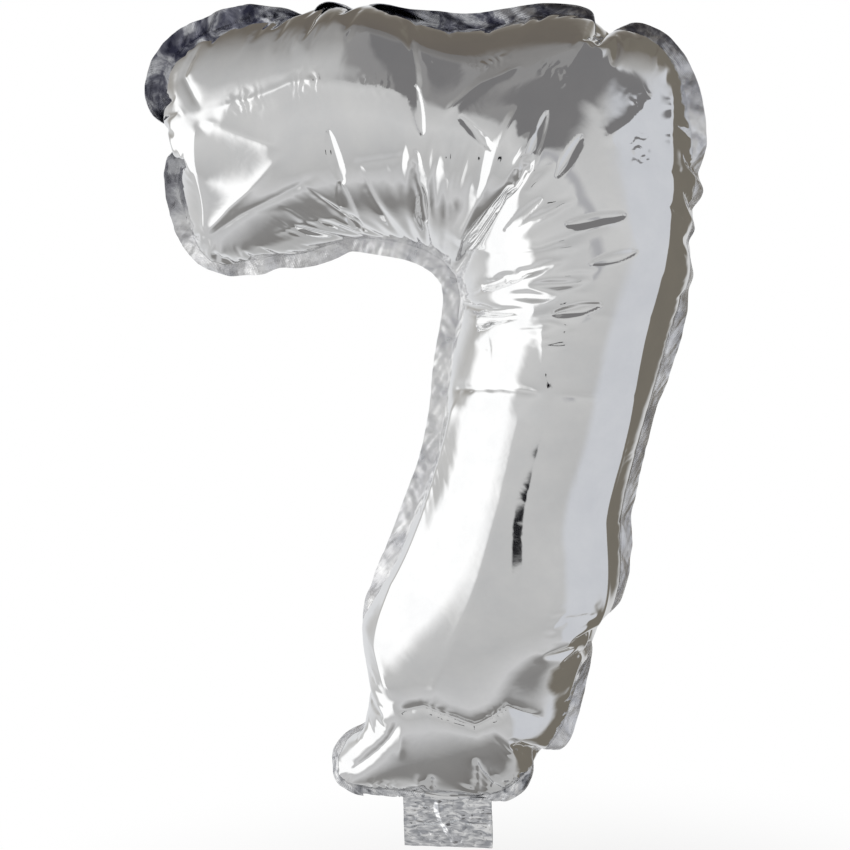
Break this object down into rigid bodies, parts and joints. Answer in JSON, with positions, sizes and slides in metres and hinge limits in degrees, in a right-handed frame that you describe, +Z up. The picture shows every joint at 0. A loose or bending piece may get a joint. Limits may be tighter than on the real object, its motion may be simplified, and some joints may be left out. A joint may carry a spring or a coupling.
{
  "type": "foil number balloon",
  "caption": "Mirror-silver foil balloon shaped as the numeral seven, blown up, with a welded margin all round and a flat filling tail with a hidden film valve at its foot.",
  "frame": {"origin": "the hanging point on the top margin, straight above the centre of mass, in the plane of the weld", "axes": "+X to the right along the bar as the numeral is read, +Z up, the front of the numeral faces -Y"},
  "size_m": [0.2382, 0.084, 0.373],
  "materials": {
    "foil": "crinkled mirror-silver metallised foil",
    "margin_foil": "the same foil, pressed flat by a finely gridded weld bar and mottled grey",
    "tail_foil": "the same foil, crumpled, with ribbed weld bands",
    "valve_film": "thin clear polyethylene film"
  },
  "bodies": {
    "figure": {"front_panel": "foil", "back_panel": "foil", "front_margin": "margin_foil", "back_margin": "margin_foil", "valve_weld_strips": "valve_film"},
    "tail": {"tail_front_leaf": "tail_foil", "tail_back_leaf": "tail_foil", "tail_front_liner": "valve_film", "tail_back_liner": "valve_film"},
    "front_lip": {"mouth_front_lip": "tail_foil"},
    "back_lip": {"mouth_back_lip": "tail_foil"},
    "front_valve": {"valve_front_film": "valve_film"},
    "back_valve": {"valve_back_film": "valve_film"}
  },
  "joints": [
    {"name": "tail_fold", "type": "hinge", "parent": "figure", "child": "tail", "pos_m": [-0.0178, 0, -0.351], "axis": [1, 0, 0], "range_deg": [-100, 100]},
    {"name": "mouth_open", "type": "hinge", "parent": "tail", "child": "front_lip", "pos_m": [-0.0178, -0.0011, -0.365], "axis": [-1, 0, 0], "range_deg": [0, 25], "stiffness_Nm_per_rad": 0.00002},
    {"name": "back_lip_open", "type": "hinge", "parent": "tail", "child": "back_lip", "pos_m": [-0.0178, 0.0011, -0.365], "axis": [1, 0, 0], "range_deg": [0, 25]},
    {"name": "front_valve_open", "type": "hinge", "parent": "figure", "child": "front_valve", "pos_m": [-0.0178, -0.00015, -0.33318], "axis": [1, 0, 0], "range_deg": [0, 4]},
    {"name": "back_valve_open", "type": "hinge", "parent": "figure", "child": "back_valve", "pos_m": [-0.0178, 0.00015, -0.33318], "axis": [-1, 0, 0], "range_deg": [0, 4]}
  ],
  "couplings": [
    {"joint": "back_lip_open", "follows": "mouth_open", "ratio": 1},
    {"joint": "front_valve_open", "follows": "mouth_open", "ratio": 0.15},
    {"joint": "back_valve_open", "follows": "mouth_open", "ratio": 0.15}
  ]
}
